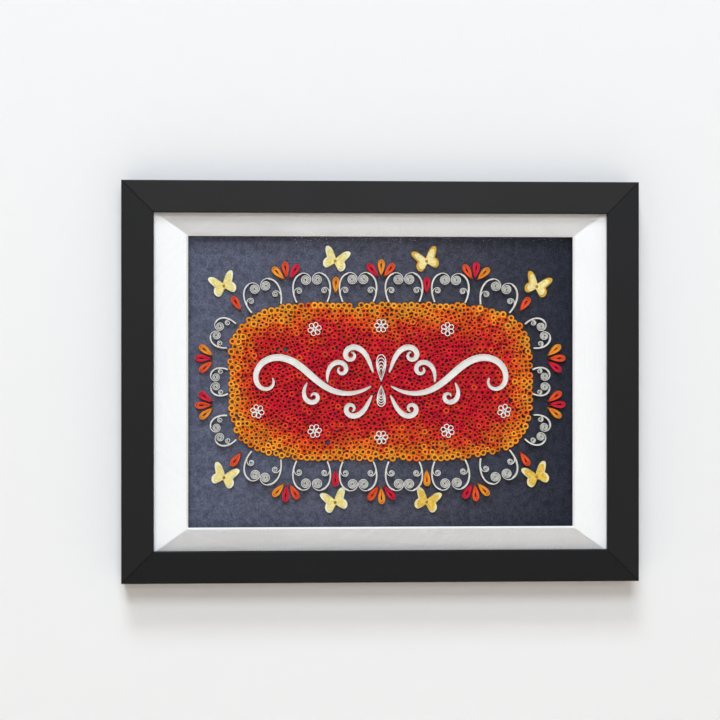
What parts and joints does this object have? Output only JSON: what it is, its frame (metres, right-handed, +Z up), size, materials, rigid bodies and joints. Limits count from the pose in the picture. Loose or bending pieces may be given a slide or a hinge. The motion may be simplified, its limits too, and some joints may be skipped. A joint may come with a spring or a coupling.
{
  "type": "framed quilled paper art",
  "caption": "Shadow box frame with mat and glass over a card of quilled paper: ring coils, scrolls, teardrops, blossoms and butterflies.",
  "frame": {"origin": "middle of the frame's bottom edge, halfway through its depth", "axes": "+X to the viewer's right along the frame, +Y from the front to the back, +Z up"},
  "size_m": [0.452, 0.0308, 0.35],
  "materials": {
    "frame_black": "satin black lacquer on mitred wood moulding",
    "clear_glass": "clear float glass",
    "spacer_black": "matte black extruded spacer",
    "white_mat": "smooth white mat board with bevelled window",
    "slate_card": "slate blue-grey textured card",
    "backing_fibreboard": "hardboard",
    "zinc_steel": "zinc plated steel",
    "crimson_paper": "quilling paper, edge on",
    "red_orange_paper": "quilling paper, edge on",
    "orange_paper": "quilling paper, edge on",
    "silver_white_paper": "pearl white quilling paper",
    "white_paper": "white quilling paper",
    "pale_yellow_paper": "embossed pale yellow paper",
    "golden_paper": "embossed golden yellow paper"
  },
  "bodies": {
    "root": {"frame_rail_top": "frame_black", "frame_rail_bottom": "frame_black", "frame_rail_left": "frame_black", "frame_rail_right": "frame_black", "glass_pane": "clear_glass", "spacer_top": "spacer_black", "spacer_bottom": "spacer_black", "spacer_left": "spacer_black", "spacer_right": "spacer_black", "mat_board": "white_mat", "slate_card": "slate_card", "backing_board": "backing_fibreboard", "corner_v_nails": "zinc_steel", "framers_points": "zinc_steel", "sawtooth_hanger": "zinc_steel", "hanger_nails": "zinc_steel", "coil_bed_centre": "crimson_paper", "coil_bed_middle": "red_orange_paper", "coil_bed_rim": "orange_paper", "scrolls_top": "silver_white_paper", "scrolls_bottom": "silver_white_paper", "scrolls_left": "silver_white_paper", "scrolls_right": "silver_white_paper", "drops_crimson": "crimson_paper", "drops_orange_red": "red_orange_paper", "drops_orange": "orange_paper", "flourish": "white_paper", "blossoms": "white_paper", "butterfly_1": "golden_paper", "butterfly_2": "golden_paper", "butterfly_3": "pale_yellow_paper", "butterfly_4": "pale_yellow_paper", "butterfly_5": "pale_yellow_paper", "butterfly_6": "pale_yellow_paper", "butterfly_7": "golden_paper", "butterfly_8": "golden_paper"}
  },
  "joints": []
}
